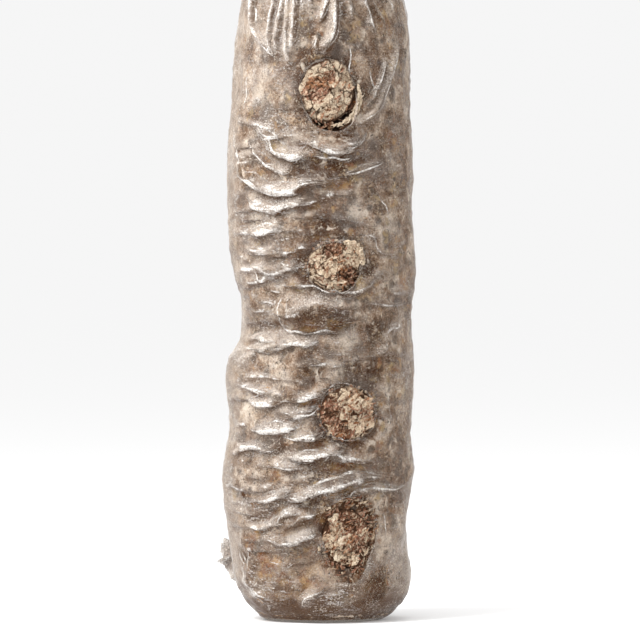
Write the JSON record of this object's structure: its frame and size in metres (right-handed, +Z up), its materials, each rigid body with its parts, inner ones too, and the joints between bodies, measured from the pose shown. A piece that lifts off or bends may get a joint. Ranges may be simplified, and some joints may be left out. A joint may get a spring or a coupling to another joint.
{
  "type": "shiitake log",
  "caption": "Upright cylindrical log of colonised sawdust in a tied, wrinkled clear film bag, with a row of round spawn plugs down its front.",
  "frame": {"origin": "middle of the flat base that the log stands on, on the log's long axis", "axes": "+Z up along the log, -Y out of the face with the spawn plugs, +X to the right seen from that face"},
  "size_m": [0.1112, 0.1177, 0.412],
  "materials": {
    "sawdust": "matte, mottled with pale mycelium",
    "film": "clear, wrinkled and glossy",
    "spawn": "rough, crusted with mycelium",
    "twine": "twisted twine"
  },
  "bodies": {
    "root": {"substrate_block": "sawdust", "film_bag": "film", "spawn_plug_1": "spawn", "spawn_plug_2": "spawn", "spawn_plug_3": "spawn", "spawn_plug_4": "spawn", "top_tie": "twine", "side_tie": "twine"}
  },
  "joints": []
}
